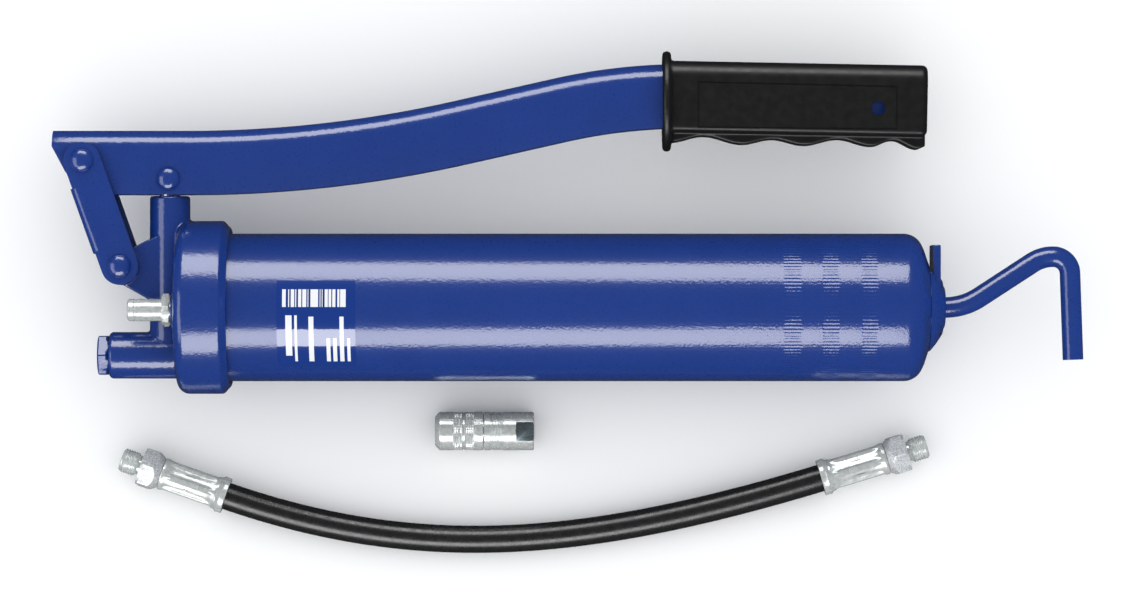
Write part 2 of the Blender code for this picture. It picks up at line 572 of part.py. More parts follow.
line = hose_path()
hose = wire("hose_tube", line, HOSE_R, RUBBER)
first, last = line[0] - line[1], line[-1] - line[-2]
lining = [line[0] + first.normalized()] + line[1:-1] + [line[-1] + last.normalized()]
cut(hose, wire("hose_bore", lining, HOSE_BORE))
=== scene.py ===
"""Looks of the lever grease gun kit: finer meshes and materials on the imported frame.

Lengths below are millimetres in the gun's own coordinates, X along the barrel with 0 on the pump
column, Y towards the lever with 0 on the barrel axis, Z out of the gun's middle plane.
"""
import bpy
import bmesh
import math
from mathutils import Euler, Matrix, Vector


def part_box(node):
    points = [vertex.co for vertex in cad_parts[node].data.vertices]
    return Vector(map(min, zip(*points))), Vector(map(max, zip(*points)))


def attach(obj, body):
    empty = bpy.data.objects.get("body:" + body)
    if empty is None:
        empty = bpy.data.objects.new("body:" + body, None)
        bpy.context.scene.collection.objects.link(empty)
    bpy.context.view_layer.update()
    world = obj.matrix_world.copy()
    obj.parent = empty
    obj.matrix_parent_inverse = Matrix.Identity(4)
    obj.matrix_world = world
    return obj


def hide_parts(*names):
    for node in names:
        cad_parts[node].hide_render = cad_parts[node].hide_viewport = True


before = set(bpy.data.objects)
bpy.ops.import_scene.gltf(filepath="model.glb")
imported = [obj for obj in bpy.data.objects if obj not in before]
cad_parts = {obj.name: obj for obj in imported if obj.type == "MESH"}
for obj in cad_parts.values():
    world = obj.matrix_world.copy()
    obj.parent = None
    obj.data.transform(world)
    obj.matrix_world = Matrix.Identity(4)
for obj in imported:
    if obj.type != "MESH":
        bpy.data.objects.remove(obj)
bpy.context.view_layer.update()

MM = 0.001
GAP = 0.3                                # clearance between neighbouring pieces
barrel_low, barrel_high = (Vector(corner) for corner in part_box("barrel_tube"))
plunger_low, plunger_high = (Vector(corner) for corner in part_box("pump_plunger"))
ORIGIN = Vector(((plunger_low.x + plunger_high.x) / 2, (barrel_low.y + barrel_high.y) / 2,
                 (barrel_low.z + barrel_high.z) / 2))

RING_R = 33.4
RING_FRONT, RING_BACK = 3.2, 23.6
OUTLET_Y = -18.5
FILLER = (0.0, -1.0, 15.0)
PIVOT_A, PIVOT_B, PIVOT_C = (-18.5, 15.8), (-33.0, 56.5), (0.0, 49.5)   # link low, high, plunger
PIN_HOLE_R = 2.8
COLUMN_TOP, COLUMN_R, BOSS_R = 43.0, 7.8, 9.0
LEVER_NOSE, LEVER_TOP = -44.9, 68.2
GRIP_HALF = 12.4
LEVER_HALF, LEVER_DEPTH, LEVER_BEND, SHEET = 8.5, 24.7, 7.0, 2.5
LINK_HALF, LINK_INSIDE, LINK_R = 11.5, 8.9, 7.1
BARREL_R, BARREL_INSIDE = 28.5, 27.3
BARREL_BACK = 293.0
ROD_R = 4.0
COUPLER_R, COUPLER_LENGTH = 7.5, 38.7
COUPLER = (101.75, -48.5, COUPLER_R - RING_R)
HOSE_Z = 8.35 - RING_R
HOSE_R = 5.35
HOSE_ENDS = {
    "left": ((19.9, -73.9, HOSE_Z), math.radians(160.7)),
    "right": ((252.8, -66.9, HOSE_Z), math.radians(16.9)),
}


def place(x, y, z=0.0):
    """Millimetres in the gun's own coordinates to metres in the shared frame."""
    return ORIGIN + Vector((x, y, z)) * MM


# ---------------------------------------------------------------- camera
def add_camera():
    """Straight down from 1.8 m over the gun's middle plane, a little off its centre."""
    data = bpy.data.cameras.new("camera")
    data.sensor_width = 36.0
    data.lens = 147.7
    camera = bpy.data.objects.new("camera", data)
    bpy.context.scene.collection.objects.link(camera)
    camera.location = place(153.6, 1.9, 1800.0)
    bpy.context.scene.camera = camera


# ---------------------------------------------------------------- materials
class Look:
    """A Principled material and short ways to add nodes to it."""

    def __init__(self, name, colour, roughness, metallic=0.0, **sockets):
        self.made = bpy.data.materials.new(name)
        self.made.use_nodes = True
        self.tree = self.made.node_tree
        self.shader = self.tree.nodes["Principled BSDF"]
        self.shader.inputs["Base Color"].default_value = (*colour, 1)
        self.shader.inputs["Roughness"].default_value = roughness
        self.shader.inputs["Metallic"].default_value = metallic
        for socket, value in sockets.items():
            self.shader.inputs[socket.replace("_", " ")].default_value = value
        self.spot = self.tree.nodes.new("ShaderNodeTexCoord").outputs["Object"]
        self.bump_out = None

    def noise(self, scale, detail=2.0, stretch=None):
        """Noise with `scale` features to the metre."""
        node = self.tree.nodes.new("ShaderNodeTexNoise")
        node.inputs["Scale"].default_value = scale
        node.inputs["Detail"].default_value = detail
        source = self.spot
        if stretch:
            mapping = self.tree.nodes.new("ShaderNodeMapping")
            mapping.inputs["Scale"].default_value = stretch
            self.tree.links.new(source, mapping.inputs["Vector"])
            source = mapping.outputs["Vector"]
        self.tree.links.new(source, node.inputs["Vector"])
        return node.outputs["Fac"]

    def between(self, source, low, high, target, span=(0.3, 0.7)):
        """Maps a factor to a socket of the shader."""
        node = self.tree.nodes.new("ShaderNodeMapRange")
        node.inputs["From Min"].default_value, node.inputs["From Max"].default_value = span
        node.inputs["To Min"].default_value = low
        node.inputs["To Max"].default_value = high
        self.tree.links.new(source, node.inputs["Value"])
        self.tree.links.new(node.outputs["Result"], self.shader.inputs[target])

    def colours(self, source, stops):
        """Base colour by a factor, from (position, colour) stops."""
        ramp = self.tree.nodes.new("ShaderNodeValToRGB")
        ramp.color_ramp.elements[0].position = stops[0][0]
        ramp.color_ramp.elements[0].color = (*stops[0][1], 1)
        ramp.color_ramp.elements[1].position = stops[-1][0]
        ramp.color_ramp.elements[1].color = (*stops[-1][1], 1)
        for position, colour in stops[1:-1]:
            ramp.color_ramp.elements.new(position).color = (*colour, 1)
        self.tree.links.new(source, ramp.inputs["Fac"])
        self.tree.links.new(ramp.outputs["Color"], self.shader.inputs["Base Color"])

    def bump(self, source, distance, strength=1.0, coat=False):
        """Adds relief, distance in metres, on top of any added before."""
        node = self.tree.nodes.new("ShaderNodeBump")
        node.inputs["Distance"].default_value = distance
        node.inputs["Strength"].default_value = strength
        self.tree.links.new(source, node.inputs["Height"])
        if self.bump_out:
            self.tree.links.new(self.bump_out, node.inputs["Normal"])
        self.bump_out = node.outputs["Normal"]
        self.tree.links.new(self.bump_out, self.shader.inputs["Normal"])
        if coat:
            self.tree.links.new(self.bump_out, self.shader.inputs["Coat Normal"])
        return self


def paint_look():
    """Glossy blue powder coat, its orange peel breaking up the edges of every highlight."""
    look = Look("blue_paint", (0.0062, 0.0375, 0.235), 0.3, Specular_IOR_Level=0.2,
                Coat_Weight=1.0, Coat_Roughness=0.13, Coat_IOR=1.7)
    look.bump(look.noise(1150.0, 1.0), 0.00007, 0.7, coat=True)
    look.bump(look.noise(450.0, 1.0), 0.00005, 0.3, coat=True)
    look.between(look.noise(900.0), 0.26, 0.36, "Roughness")
    look.colours(look.noise(60.0), [(0.3, (0.0058, 0.036, 0.228)), (0.7, (0.0066, 0.039, 0.242))])
    return look.made


def zinc_look():
    """Bright zinc plating, cloudy and faintly green, with a fine crystalline grain."""
    look = Look("zinc", (0.74, 0.77, 0.75), 0.2, 0.4, Specular_IOR_Level=0.9)
    look.between(look.noise(420.0, 3.0), 0.16, 0.3, "Roughness")
    look.colours(look.noise(700.0, 4.0), [(0.3, (0.60, 0.64, 0.63)), (0.62, (0.80, 0.83, 0.81))])
    look.bump(look.noise(1700.0, 2.0), 0.00001, 0.5)
    return look.made


def cast_zinc_look():
    """Duller zinc plating over rough forged faces."""
    look = Look("zinc_rough", (0.6, 0.62, 0.63), 0.4, 0.4)
    look.between(look.noise(900.0, 4.0), 0.34, 0.5, "Roughness")
    look.colours(look.noise(1900.0, 3.0), [(0.36, (0.46, 0.48, 0.51)), (0.6, (0.78, 0.80, 0.81))])
    look.bump(look.noise(1500.0, 3.0), 0.00006, 0.8)
    return look.made


def zinc_flat_painted_reflection_look():
    """Plating on ground flats, smooth enough to mirror the dim room above. Its dark teal base colour is a
    painted reflection of that dim, bluish room.
    """
    # The dark teal base colour is a painted reflection of the dim room, not the zinc's own colour.
    look = Look("zinc_ground_painted_reflection", (0.30, 0.37, 0.40), 0.25, 0.85)
    look.between(look.noise(300.0, 3.0, (1, 8, 8)), 0.2, 0.34, "Roughness")
    return look.made


def steel_look():
    """Plain turned steel of the inner pieces."""
    look = Look("bare_steel", (0.56, 0.56, 0.57), 0.3, 1.0)
    look.between(look.noise(500.0, 3.0), 0.24, 0.42, "Roughness")
    look.bump(look.noise(1800.0, 2.0), 0.00001, 0.5)
    return look.made


def plastic_look():
    """Satin black moulded plastic with a faint spark-eroded grain."""
    look = Look("black_plastic", (0.0075, 0.0078, 0.0085), 0.34, Specular_IOR_Level=0.5)
    look.bump(look.noise(2600.0, 2.0), 0.00003, 0.5)
    look.between(look.noise(300.0, 3.0), 0.32, 0.42, "Roughness")
    return look.made


def hose_look():
    """Black hose cover, nearly smooth, with a fine and a broad unevenness."""
    look = Look("hose_cover", (0.0125, 0.013, 0.0135), 0.28, Specular_IOR_Level=0.8)
    look.bump(look.noise(1500.0, 3.0), 0.00004, 0.5)
    look.bump(look.noise(260.0, 1.0), 0.00006, 0.35)
    look.between(look.noise(420.0, 3.0), 0.22, 0.34, "Roughness")
    return look.made


def rubber_look():
    look = Look("rubber", (0.012, 0.012, 0.012), 0.65)
    look.bump(look.noise(1500.0, 2.0), 0.00004, 0.5)
    return look.made


def copper_look():
    look = Look("copper", (0.80, 0.42, 0.27), 0.34, 1.0)
    look.between(look.noise(500.0, 3.0), 0.3, 0.45, "Roughness")
    return look.made


def film_look():
    """Clear glossy film over the paint, so smoother and a little deeper than the paint."""
    look = Look("label_film", (0.0062, 0.0375, 0.238), 0.2, Specular_IOR_Level=0.2,
                Coat_Weight=1.0, Coat_Roughness=0.04, Coat_IOR=1.95)
    look.bump(look.noise(900.0, 1.0), 0.00003, 0.3, coat=True)
    return look.made


def print_look():
    """Flat white print on the film."""
    look = Look("label_print", (0.82, 0.83, 0.84), 0.3)
    look.bump(look.noise(2500.0, 1.0), 0.00001, 0.3)
    return look.made


# ---------------------------------------------------------------- mesh making
def arc(x, y, radius, start, end, steps):
    """Points of an arc, angles in degrees."""
    turns = [math.radians(start + (end - start) * n / steps) for n in range(steps + 1)]
    return [(x + radius * math.cos(t), y + radius * math.sin(t)) for t in turns]


def finish_mesh(name, mesh, look, at=(0, 0, 0), turn=0.0, tilt=None, sharp=32):
    """Places a mesh; edges that turn by more than `sharp` degrees stay sharp."""
    piece = bpy.data.objects.new(name, mesh)
    bpy.context.scene.collection.objects.link(piece)
    piece.location = place(*at)
    piece.rotation_euler = tilt or (0, 0, turn)
    if look:
        mesh.materials.append(look)
    mesh.shade_smooth()
    mesh.set_sharp_from_angle(angle=math.radians(sharp))
    bpy.context.view_layer.update()
    return piece


UP = Euler((0, 0, math.pi / 2))          # a lathe axis along Y
ACROSS = Euler((0, -math.pi / 2, 0))     # a lathe axis along Z


def lathe(name, loop, look=None, steps=96, at=(0, 0, 0), turn=0.0, tilt=None, shape=None,
          ring=False, sharp=32):
    """A turned mesh about X. shape(t, r, angle) may change the radius at a point."""
    mesh = bpy.data.meshes.new(name)
    build = bmesh.new()
    rows = []
    for t, r in loop:
        if r < 1e-6:
            rows.append([build.verts.new((t * MM, 0, 0))])
            continue
        row = []
        for n in range(steps):
            angle = 2 * math.pi * n / steps
            radius = shape(t, r, angle) if shape else r
            row.append(build.verts.new((t * MM, radius * math.cos(angle) * MM,
                                        radius * math.sin(angle) * MM)))
        rows.append(row)
    pairs = list(zip(rows, rows[1:]))
    if ring:
        pairs.append((rows[-1], rows[0]))
    for a, b in pairs:
        for n in range(steps):
            m = (n + 1) % steps
            corners = [a[n % len(a)], a[m % len(a)], b[m % len(b)], b[n % len(b)]]
            corners = list(dict.fromkeys(corners))
            if len(corners) > 2:
                build.faces.new(corners)
    bmesh.ops.recalc_face_normals(build, faces=build.faces)
    build.to_mesh(mesh)
    build.free()
    return finish_mesh(name, mesh, look, at, turn, tilt, sharp)


def rod(radius, start, end, at=(0, 0, 0), tilt=None, steps=48):
    """A plain cylinder along X unless tilted, mostly to cut a hole with."""
    return lathe("rod", [(start, 0), (start, radius), (end, radius), (end, 0)], steps=steps,
                 at=at, tilt=tilt)


def spread(start, end, count):
    """Even steps from start to end, both included."""
    return [start + (end - start) * n / count for n in range(count + 1)]


def plate(name, outline, low, high, look=None, sharp=32, across=False):
    """An outline in XY filled and given thickness, from low to high along Z (or (y, z) along X)."""
    mesh = bpy.data.meshes.new(name)
    build = bmesh.new()
    spots = [(low, x, y) if across else (x, y, low) for x, y in outline]
    face = build.faces.new([build.verts.new(Vector(spot) * MM) for spot in spots])
    grown = bmesh.ops.extrude_face_region(build, geom=[face])
    moved = [v for v in grown["geom"] if isinstance(v, bmesh.types.BMVert)]
    shift = Vector((high - low, 0, 0) if across else (0, 0, high - low)) * MM
    bmesh.ops.translate(build, verts=moved, vec=shift)
    bmesh.ops.recalc_face_normals(build, faces=build.faces)
    build.to_mesh(mesh)
    build.free()
    return finish_mesh(name, mesh, look, sharp=sharp)


def block(name, x, y, z):
    """A box from its ranges in X, Y and Z."""
    (a, b), (c, d), (e, f) = x, y, z
    return plate(name, [(a, c), (b, c), (b, d), (a, d)], e, f)


def wire(name, points, radius, look=None, sides=8):
    """A round bar as a bevelled curve through the points."""
    data = bpy.data.curves.new(name, 'CURVE')
    data.dimensions = '3D'
    line = data.splines.new('POLY')
    line.points.add(len(points) - 1)
    for point, spot in zip(line.points, points):
        point.co = (*(Vector(spot) * MM), 1)
    line.use_smooth = True
    data.bevel_depth = radius * MM
    data.bevel_resolution = sides
    data.use_fill_caps = True
    piece = bpy.data.objects.new(name, data)
    bpy.context.scene.collection.objects.link(piece)
    piece.location = place(0, 0, 0)
    if look:
        data.materials.append(look)
    bpy.context.view_layer.update()
    return piece


def bent(corners, radii, steps=12):
    """A polyline through the corners with its inner corners rounded."""
    path = [corners[0]]
    for before, corner, after, radius in zip(corners, corners[1:], corners[2:], radii):
        here = Vector(corner)
        back = (Vector(before) - here).normalized()
        on = (Vector(after) - here).normalized()
        half = back.angle(on) / 2
        centre = here + (back + on).normalized() * radius / math.sin(half)
        first = here + back * radius / math.tan(half) - centre
        last = here + on * radius / math.tan(half) - centre
        whole = first.angle(last)
        for n in range(steps + 1):
            part = (first * math.sin(whole * (1 - n / steps)) +
                    last * math.sin(whole * n / steps)) / math.sin(whole)
            path.append(tuple(centre + part))
    return path + [corners[-1]]


def swept(name, outline, path, look=None):
    """The section carried along a flat path, depth measured to the path's right."""
    mesh = bpy.data.meshes.new(name)
    build = bmesh.new()
    rings = []
    for n, here in enumerate(path):
        before, after = path[max(n - 1, 0)], path[min(n + 1, len(path) - 1)]
        on = (Vector(after) - Vector(before)).normalized()
        down = Vector((on.y, -on.x))
        rings.append([build.verts.new((*((Vector(here) + down * d) * MM), w * MM))
                      for d, w in outline])
    for a, b in zip(rings, rings[1:]):
        for n in range(len(outline)):
            m = (n + 1) % len(outline)
            build.faces.new((a[n], b[n], b[m], a[m]))
    build.faces.new(rings[0])
    build.faces.new(rings[-1])
    bmesh.ops.recalc_face_normals(build, faces=build.faces)
    build.to_mesh(mesh)
    build.free()
    return finish_mesh(name, mesh, look)


def change(piece, kind, **values):
    modifier = piece.modifiers.new(kind.lower(), kind)
    for key, value in values.items():
        setattr(modifier, key, value)
    return modifier


def settle(piece, *tools, sharp=32):
    """Applies the piece's modifiers and removes what they used."""
    bpy.context.view_layer.update()
    seen = piece.evaluated_get(bpy.context.evaluated_depsgraph_get())
    mesh = bpy.data.meshes.new_from_object(seen)
    old = piece.data
    piece.modifiers.clear()
    piece.data = mesh
    bpy.data.meshes.remove(old)
    for tool in tools:
        bpy.data.objects.remove(tool)
    mesh.shade_smooth()
    mesh.set_sharp_from_angle(angle=math.radians(sharp))
    return piece


def combine(piece, how, *tools, sharp=32):
    """Boolean with each tool in turn; the tools are used up."""
    for tool in tools:
        change(piece, 'BOOLEAN', operation=how, solver='EXACT', object=tool)
    return settle(piece, *tools, sharp=sharp)


def rounded(piece, width, segments=3, degrees=35, sharp=40):
    """Bevels edges that turn by more than the given degrees."""
    change(piece, 'BEVEL', width=width * MM, segments=segments, limit_method='ANGLE',
           angle_limit=math.radians(degrees), harden_normals=False)
    return settle(piece, sharp=sharp)


def melted(piece, voxel, rounds, *tools):
    """Grows overlapping solids together into one skin with small natural fillets."""
    for tool in tools:
        bm = bmesh.new()
        bm.from_mesh(tool.data)
        bm.transform(piece.matrix_world.inverted() @ tool.matrix_world)
        bm.from_mesh(piece.data)
        bm.to_mesh(piece.data)
        bm.free()
        bpy.data.objects.remove(tool)
    change(piece, 'REMESH', mode='VOXEL', voxel_size=voxel * MM, use_smooth_shade=True)
    change(piece, 'SMOOTH', factor=0.5, iterations=rounds)
    return settle(piece, sharp=180)


def take_place(piece, body, slot, *nodes):
    """The piece moves with a body and stands for the named CAD nodes."""
    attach(piece, body)
    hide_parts(*nodes)
    return piece


def hexagon_shape(across_flats, lead=0.0):
    """Radius of a hexagonal bar, cut by the turned profile, with corners at lead + 60 degrees n."""
    def shape(t, r, angle):
        swing = (angle - lead + math.pi / 6) % (math.pi / 3) - math.pi / 6
        return min(r, across_flats / 2 / math.cos(math.pi / 6 - abs(swing)))
    return shape


# ---------------------------------------------------------------- hose
def hose_points():
    """Straight inside each ferrule, one easy bend between them, sagging towards the floor."""
    (left, left_turn), (right, right_turn) = HOSE_ENDS["left"], HOSE_ENDS["right"]
    p0, p3 = Vector(left), Vector(right)
    out0 = Vector((math.cos(left_turn), math.sin(left_turn), 0))
    out3 = Vector((math.cos(right_turn), math.sin(right_turn), 0))
    sag = Vector((0, 0, -3.9))
    p1, p2 = p0 - out0 * 80 + sag, p3 - out3 * 96 + sag
    path = [p0 + out0 * reach for reach in (25, 18, 12, 6)]
    for n in range(41):
        t = n / 40
        path.append(p0 * (1 - t) ** 3 + p1 * 3 * t * (1 - t) ** 2 +
                    p2 * 3 * t ** 2 * (1 - t) + p3 * t ** 3)
    return path + [p3 + out3 * reach for reach in (6, 12, 18, 25)]


def ferrule_shape(t, r, angle):
    """Six long crimped dents round the sleeve."""
    if not 4.0 < t < 25.5 or r < 6.0:
        return r
    swing = (angle + math.pi / 6) % (math.pi / 3) - math.pi / 6
    wide = max(0.0, 1 - (swing / 0.42) ** 4)
    ends = max(0.0, 1 - (abs(t - 14.8) / 10.6) ** 6)
    return r - 0.85 * wide * ends


def thread_shape(pitch, depth, inner):
    """Radius of a helical thread cut into whatever lies outside the inner radius."""
    def shape(t, r, angle):
        if r < inner:
            return r
        phase = (t / pitch - angle / (2 * math.pi)) % 1.0
        return r - depth * (1 - abs(2 * phase - 1))
    return shape


def make_hose(looks):
    """Cover along its route, and a crimped ferrule and a threaded stem at each end."""
    line = hose_points()
    hose = wire("hose_cover", line, HOSE_R, looks["hose"], sides=10)
    take_place(hose, "hose", "hose_rubber", "hose_tube")
    pieces = []
    for side, (at, turn) in HOSE_ENDS.items():
        sleeve = [(0, 6.0), (0, 6.9), (0.25, 7.1), (1.6, 7.1)] + arc(1.6, 8.6, 1.5, 270, 300, 3)[1:]
        sleeve += [(t, 6.35) for t in spread(3.6, 26.3, 46)]
        sleeve += [(26.7, 6.2), (26.8, 5.9), (26.8, 3.6), (26.3, 3.6), (26.3, 5.5), (2.2, 5.5)]
        ferrule = lathe("ferrule_" + side, sleeve, looks["zinc"], 144, at, turn,
                        shape=ferrule_shape, ring=True)
        take_place(ferrule, "hose", "zinc_plate", "hose_ferrule_" + side)
        profile = [(6.0, 1.8), (6.0, 2.9), (26.9, 2.9), (26.9, 5.7)]
        profile += [(t, 5.9 + (t - 27.0) * 0.75) for t in spread(27.0, 30.0, 8)]
        profile += [(30.4, 8.31), (34.4, 8.31), (35.3, 7.4), (35.3, 3.75)]
        profile += [(36.4, 3.75), (37.0, 4.2)] + [(t, 4.85) for t in spread(37.4, 42.6, 42)]
        profile += [(43.1, 4.3), (43.4, 3.9), (43.4, 1.8)]
        bar = hexagon_shape(14.4, math.radians(40 if side == "left" else 30))
        thread = thread_shape(1.0, 0.5, 4.5)

        def shape(t, r, angle, bar=bar, thread=thread):
            if 26.95 < t < 35.6 and r > 5.0:
                return bar(t, r, angle)
            return thread(t, r, angle) if t > 37.2 else r

        stem = lathe("stem_" + side, profile, looks["zinc"], 144, at, turn, shape=shape, ring=True,
                     sharp=25)
        stem.data.materials.append(looks["zinc_rough"])
        for face in stem.data.polygons:
            if 27.0 * MM < face.center.x < 35.0 * MM:
                face.material_index = 1
        take_place(stem, "hose", "zinc_plate", "hose_stem_" + side)
        pieces += [ferrule, stem]


# ---------------------------------------------------------------- head
def make_head(looks):
    """Casting, the valve screw with its inside thread, and the filler nipple."""
    edge = 4.5
    cup = [(RING_FRONT, 0)] + arc(RING_FRONT + edge, RING_R - edge, edge, 180, 90, 12)
    cup += [(21.0, RING_R), (22.9, RING_R - 2.2)]
    cup += [(RING_BACK, BARREL_R + 2.2), (RING_BACK, 0)]
    head = lathe("head_casting", cup, looks["paint"], 192)
    column = lathe("column", [(-21.0, 0), (-21.0, 5.0), (OUTLET_Y, COLUMN_R),
                              (COLUMN_TOP - 0.6, COLUMN_R), (COLUMN_TOP, COLUMN_R - 0.6),
                              (COLUMN_TOP, 0)], tilt=UP)
    boss = lathe("boss", [(-23.4, 0), (-23.4, BOSS_R - 1.0), (-22.4, BOSS_R), (4.0, BOSS_R),
                          (4.0, 0)], at=(0, OUTLET_Y, 0))
    ear = plate("ear", [(-2, 28.3), (-8, 26.1)] + arc(*PIVOT_A, 7.2, 66, 276, 40) +
                [(-7.5, 2.9), (-2, 1.0)], -7.0, 7.0)
    knuckle = rod(6.9, GAP - LINK_INSIDE, LINK_INSIDE - GAP, (*PIVOT_A, 0), ACROSS, 96)
    pad = lathe("pad", [(1.7, 0), (1.7, 6.4), (2.2, 6.8), (4.5, 6.8), (4.5, 0)], at=FILLER)
    melted(head, 0.5, 5, column, boss, ear, knuckle, pad)
    chamber = lathe("chamber", [(5.7, 0), (5.7, 22.8), (6.9, 24.0), (6.9, BARREL_R + GAP),
                                (21.6, BARREL_R + GAP), (22.6, BARREL_R + 1.3),
                                (RING_BACK + 2, BARREL_R + 1.3), (RING_BACK + 2, 0)], steps=192)
    bore = lathe("bore", [(OUTLET_Y - 1, 0), (OUTLET_Y - 1, 4.3), (37.5, 4.3), (37.5, 5.9),
                          (COLUMN_TOP + 1, 5.9), (COLUMN_TOP + 1, 0)], steps=64, tilt=UP)
    outlet = lathe("outlet", [(-25, 0), (-25, 6.8), (-13.7, 6.8), (-13.7, 4.0), (-8, 4.0),
                              (-8, 2.2), (1, 2.2), (1, 0)], steps=64, at=(0, OUTLET_Y, 0))
    inlet = rod(3.0, 0, 8)
    hole = rod(4.0, -2, 7, FILLER)
    pin = rod(PIN_HOLE_R, -10, 10, (*PIVOT_A, 0), ACROSS)
    combine(head, 'DIFFERENCE', chamber, bore, outlet, inlet, hole, pin, sharp=50)
    take_place(head, "head", "blue_paint", "pump_head")

    bolt = hexagon_shape(15.0)
    socket = thread_shape(1.0, 0.45, 4.4)
    profile = [(-27.6, 4.6), (-27.6, 7.2), (-27.0, 8.5), (-24.3, 8.5), (-23.7, 7.6), (-23.7, 6.5),
               (-15.1, 6.5), (-15.1, 3.2), (-19.0, 3.2), (-19.0, 1.5), (-20.5, 1.5), (-20.5, 4.2)]
    profile += [(t, 4.6) for t in spread(-21.0, -26.8, 46)]

    def shape(t, r, angle):
        if r > 7.0 and t < -23.6:
            return bolt(t, r, angle)
        if 4.4 < r < 4.7 and t > -26.9:
            return socket(t, r, angle)
        return r

    screw = lathe("valve_screw", profile, looks["paint"], 240, (0, OUTLET_Y, 0),
                  tilt=Euler((math.pi / 2, 0, 0)), shape=shape, ring=True, sharp=25)
    take_place(screw, "head", "blue_paint", "outlet_valve_screw")

    flange = hexagon_shape(11.3, lead=math.pi / 12)
    profile = [(-15.1, 1.6), (-15.1, 3.5), (-14.4, 4.25), (-12.6, 4.25), (-12.3, 4.05),
               (-11.6, 4.05), (-11.3, 4.25), (-1.7, 4.25), (-1.7, 5.6), (-1.2, 6.52), (0.9, 6.52),
               (1.4, 5.6), (1.4, 3.7), (5.4, 3.7), (5.4, 1.2), (4.4, 1.2), (4.4, 2.6),
               (-12.6, 2.6), (-12.6, 1.6)]
    nipple = lathe("filler", profile, looks["zinc"], 144, FILLER, ring=True, sharp=25,
                   shape=lambda t, r, angle: flange(t, r, angle) if r > 5.0 else r)
    take_place(nipple, "head", "zinc_plate", "filler_nipple")


# ---------------------------------------------------------------- lever and link
LEVER_LINE = ([(LEVER_NOSE, LEVER_TOP), (58.8, LEVER_TOP), (177.4, 94.96), (285.0, 90.9)],
              [468.0, 230.0])


def channel_section(half, depth, radius, top=0.0, steps=8):
    """A downward U: half width, depth of its legs, bend radius, and how deep its top lies."""
    return ([(depth, -half)] + arc(top + radius, -half + radius, radius, 270, 180, steps) +
            arc(top + radius, half - radius, radius, 180, 90, steps) + [(depth, half)])


def dome(inside, head_r):
    """Half of a rivet's outline, from the middle of its dome to its shank."""
    face = inside + GAP
    tall = 2.2
    cap = [(face + tall * math.cos(n * math.pi / 20), head_r * math.sin(n * math.pi / 20))
           for n in range(11)]
    return cap[:-1] + [(face, head_r), (face, 2.5)]


def make_rivet(name, at, inside, body, looks, node):
    """A shank through the sheet walls, whose outer faces lie at `inside`, and a dome at each end."""
    half = dome(inside, 4.4)
    loop = [(-t, r) for t, r in half] + [(t, r) for t, r in reversed(half)]
    piece = lathe(name, loop, looks["paint"], 72, (*at, 0), tilt=ACROSS, sharp=45)
    take_place(piece, body, "blue_paint", node)


def make_lever(looks):
    """The lever's pressed channel, the link outside it and the three rivets."""
    path = bent(*LEVER_LINE, 28)
    path = [path[0]] + [(x, LEVER_TOP) for x in spread(-30, 0, 3)] + path[1:]
    outer = channel_section(LEVER_HALF, LEVER_DEPTH, LEVER_BEND, steps=12)
    inner = channel_section(LEVER_HALF - SHEET, LEVER_DEPTH, LEVER_BEND - SHEET, SHEET, 12)
    lever = swept("lever_arm", outer + inner[::-1], path, looks["paint"])
    nose = [(-70, 62), (LEVER_NOSE, 62)] + arc(*PIVOT_B, 7.9, 210, 280, 20)
    nose += [(-22, 43.6), (-21, 30), (-70, 30)]
    combine(lever, 'DIFFERENCE', plate("nose", nose, -12, 12))
    hole_b = rod(4.7, -14, 14, (*PIVOT_B, 0), ACROSS)
    hole_c = rod(PIN_HOLE_R, -14, 14, (*PIVOT_C, 0), ACROSS)
    combine(lever, 'DIFFERENCE', hole_b, hole_c, block("tang", (197, 300), (40, 71), (-13, 13)))
    rounded(lever, 0.35, 2, 50)
    take_place(lever, "lever", "blue_paint", "lever_channel")

    lean = Vector(PIVOT_B) - Vector(PIVOT_A)
    along = lean.normalized()
    aside = Vector((along.y, -along.x))
    reach = lean.length
    lean_deg = math.degrees(math.atan2(along.y, along.x))
    outline = arc(*PIVOT_A, LINK_R, lean_deg + 90, lean_deg + 270, 40)
    outline += arc(*PIVOT_B, LINK_R, lean_deg - 90, lean_deg + 90, 40)

    def on_link(points):
        """Points given along the link and to its right."""
        return [tuple(Vector(PIVOT_A) + along * t + aside * q) for t, q in points]

    link = plate("link", outline, -LINK_HALF, LINK_HALF, looks["paint"])
    bend = on_link([(8.4, -20), (8.4, -4.9), (reach - 9.4, -4.9), (reach - 9.4, -20)])
    combine(link, 'DIFFERENCE', plate("bend", bend, -12, 12))
    half = LINK_HALF - 0.01              # a hair narrower, so that no faces coincide
    corner = 3.0
    section = [(0, -half)] + arc(-5.1, corner - half, corner, 270, 180, 8)
    section += arc(-5.1, half - corner, corner, 180, 90, 8) + [(0, half)]
    combine(link, 'UNION', swept("web", section, on_link([(8, 0), (reach - 9, 0)])))
    window = on_link([(-20, -20), (7.3, -20), (7.3, -5.6), (reach - 8.2, -5.6),
                      (reach - 8.2, -20), (65, -20), (65, 20), (-20, 20)])
    holes = [rod(PIN_HOLE_R, -14, 14, (*at, 0), ACROSS) for at in (PIVOT_A, PIVOT_B)]
    combine(link, 'DIFFERENCE', plate("window", window, -LINK_INSIDE, LINK_INSIDE), *holes)
    rounded(link, 0.6, 3, 50)
    take_place(link, "link", "blue_paint", "link_plate")
    make_rivet("pin_lever", PIVOT_C, LEVER_HALF, "plunger", looks, "plunger_pin")
    make_rivet("pin_lower", PIVOT_A, LINK_HALF, "head", looks, "link_lower_rivet")
    make_rivet("pin_upper", PIVOT_B, LINK_HALF, "link", looks, "link_upper_rivet")


